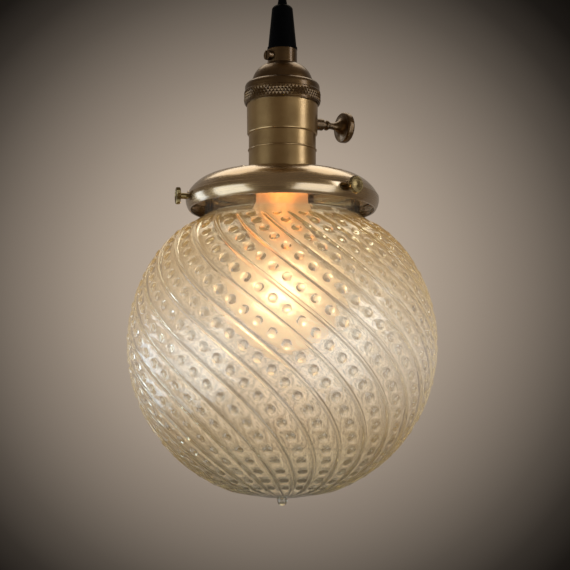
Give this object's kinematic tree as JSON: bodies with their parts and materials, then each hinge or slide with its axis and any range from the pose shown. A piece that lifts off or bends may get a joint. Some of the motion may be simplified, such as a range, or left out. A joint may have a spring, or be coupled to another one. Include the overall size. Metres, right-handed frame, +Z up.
{
  "type": "pendant ceiling light",
  "caption": "Pendant ceiling light: a swirled hobnail glass globe held by thumbscrews in a spun brass fitter, on a turn-switch lamp socket that hangs from a cord and a ceiling canopy.",
  "frame": {"origin": "on the cord's axis in the ceiling plane, midway between the crossbar's two slots", "axes": "+Z up, towards the ceiling box; +X along the crossbar, to the right seen from the front; the front of the lamp faces -Y"},
  "size_m": [0.1524, 0.1524, 0.3754],
  "materials": {
    "antique_brass": "antique brown-gold, polished",
    "screw_brass": "knurled, bright",
    "contact_brass": "plain",
    "zinc_steel": "zinc plated",
    "ground_green": "green dyed",
    "black_plastic": "matte black",
    "cord_black": "matte black jacket",
    "lead_black": "insulated core",
    "lead_white": "insulated core",
    "connector_orange": "moulded",
    "fibre": "vulcanised fibre",
    "phenolic": "moulded",
    "globe_glass": "clear pressed glass, hobnails and swirled ribs",
    "bulb_glass": "lit, soft warm glow",
    "stem_glass": "clear",
    "filament": "glowing wire",
    "bulb_metal": "rolled thread"
  },
  "bodies": {
    "ceiling_mount": {"canopy": "antique_brass", "crossbar": "zinc_steel", "canopy_screws": "zinc_steel", "canopy_nuts": "antique_brass", "ground_screw": "ground_green", "ceiling_cord_grip": "black_plastic", "cord_grip_nut": "black_plastic", "cord_head": "cord_black", "supply_live_lead": "lead_black", "supply_neutral_lead": "lead_white", "wire_connectors": "connector_orange"},
    "lamp": {"pendant_cord": "cord_black", "cord_strain_relief": "black_plastic", "cord_tail": "cord_black", "socket_cap": "antique_brass", "cap_set_screw": "zinc_steel", "knurled_collar": "antique_brass", "socket_shell": "antique_brass", "shell_insulator": "fibre", "lampholder_body": "phenolic", "terminal_screws": "contact_brass", "live_lead": "lead_black", "neutral_lead": "lead_white", "screw_shell": "contact_brass", "centre_contact": "contact_brass", "switch_bushing": "antique_brass", "switch_leaf": "contact_brass", "shade_fitter": "antique_brass", "fitter_ring": "antique_brass", "glass_globe": "globe_glass"},
    "switch": {"switch_knob": "antique_brass", "switch_shaft": "zinc_steel", "switch_cam": "phenolic"},
    "bulb": {"bulb_envelope": "bulb_glass", "bulb_base": "bulb_metal", "bulb_base_insulator": "black_plastic", "bulb_tip_contact": "contact_brass", "bulb_stem": "stem_glass", "bulb_filament": "filament"},
    "front_screw": {"thumbscrew_front": "screw_brass"},
    "left_screw": {"thumbscrew_left": "screw_brass"},
    "back_screw": {"thumbscrew_back": "screw_brass"}
  },
  "joints": [
    {"name": "pendant_swing", "type": "hinge", "parent": "ceiling_mount", "child": "lamp", "pos_m": [0, 0, -0.038], "axis": [0, 1, 0], "range_deg": [-20, 20]},
    {"name": "switch_turn", "type": "hinge", "parent": "lamp", "child": "switch", "pos_m": [0, 0, -0.1812], "axis": [0.866, 0.5, 0], "continuous": true},
    {"name": "bulb_out", "type": "slide", "parent": "lamp", "child": "bulb", "axis": [0, 0, -1], "range_m": [0, 0.025]},
    {"name": "thumbscrew_front_out", "type": "slide", "parent": "lamp", "child": "front_screw", "axis": [0.6691, -0.7431, 0], "range_m": [0, 0.007]},
    {"name": "thumbscrew_left_out", "type": "slide", "parent": "lamp", "child": "left_screw", "axis": [-0.9781, -0.2079, 0], "range_m": [0, 0.007]},
    {"name": "thumbscrew_back_out", "type": "slide", "parent": "lamp", "child": "back_screw", "axis": [0.309, 0.9511, 0], "range_m": [0, 0.007]}
  ]
}
